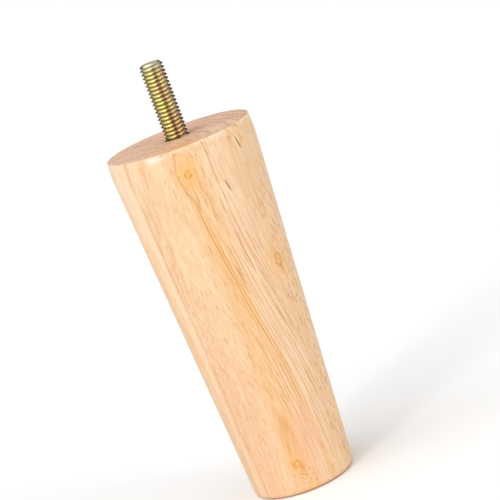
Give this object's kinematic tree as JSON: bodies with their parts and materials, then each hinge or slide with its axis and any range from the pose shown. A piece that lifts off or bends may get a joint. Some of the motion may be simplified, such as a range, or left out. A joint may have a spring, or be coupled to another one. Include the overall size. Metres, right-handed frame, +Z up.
{
  "type": "tapered wooden furniture leg",
  "caption": "Round wooden furniture leg that tapers straight down to a rounded foot, with a soft shoulder and a threaded steel stud standing out of its top face.",
  "frame": {"origin": "centre of the foot's flat face, on the floor", "axes": "+Z up the leg's axis towards the stud; -Y is the side that the picture shows"},
  "size_m": [0.048, 0.048, 0.145],
  "materials": {
    "wood": "pale straight-grained hardwood, turned and sanded, thin satin clear coat",
    "zinc_steel": "rolled thread with yellow passivated zinc plating, satin, with faint green and rose tints"
  },
  "bodies": {
    "root": {"tapered_leg": "wood", "hanger_bolt": "zinc_steel"}
  },
  "joints": []
}
